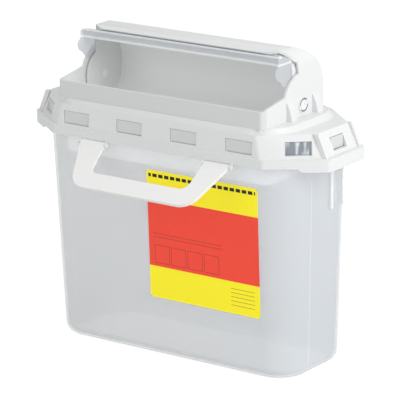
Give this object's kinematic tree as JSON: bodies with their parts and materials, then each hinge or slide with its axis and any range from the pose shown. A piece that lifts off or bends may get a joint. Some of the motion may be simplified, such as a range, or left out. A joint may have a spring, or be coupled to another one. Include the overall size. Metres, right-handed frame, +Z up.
{
  "type": "sharps container",
  "caption": "Side-entry sharps container: clear tapered tub, clipped lid with swing-out bail, and a hood over a counterweighted tray that tips forward and closes the mouth.",
  "frame": {"origin": "middle of the flat foot the tub stands on", "axes": "+X along the width, the front faces -Y, +Z up"},
  "size_m": [0.3066, 0.1526, 0.2732],
  "materials": {
    "clear_tub": "natural translucent polypropylene, smooth",
    "grey_lid": "light grey moulded polypropylene",
    "white_hood": "white moulded polypropylene",
    "grey_tray": "grey moulded polypropylene",
    "clear_lip": "clear moulded plastic",
    "white_handle": "white moulded polypropylene",
    "bare_steel": "drawn bar",
    "label_film": "printed film in yellow and red bands"
  },
  "bodies": {
    "container": {"tub": "clear_tub", "lid": "grey_lid", "hood": "white_hood", "chute": "grey_tray", "front_label": "label_film"},
    "door": {"tray": "grey_tray", "tray_end_left": "white_hood", "tray_end_right": "white_hood", "lip_bar": "clear_lip", "lip_end_left": "clear_lip", "lip_end_right": "clear_lip", "pivot_pin_left": "white_handle", "pivot_pin_right": "white_handle", "counterweight": "bare_steel", "weight_cap_left": "grey_tray", "weight_cap_right": "grey_tray"},
    "handle": {"handle": "white_handle"}
  },
  "joints": [
    {"name": "door_swing", "type": "hinge", "parent": "container", "child": "door", "pos_m": [0, 0.0065, 0.2247], "axis": [1, 0, 0], "range_deg": [0, 52]},
    {"name": "handle_swing", "type": "hinge", "parent": "container", "child": "handle", "pos_m": [0, -0.05808, 0.1821], "axis": [-1, 0, 0], "range_deg": [0, 95]}
  ]
}
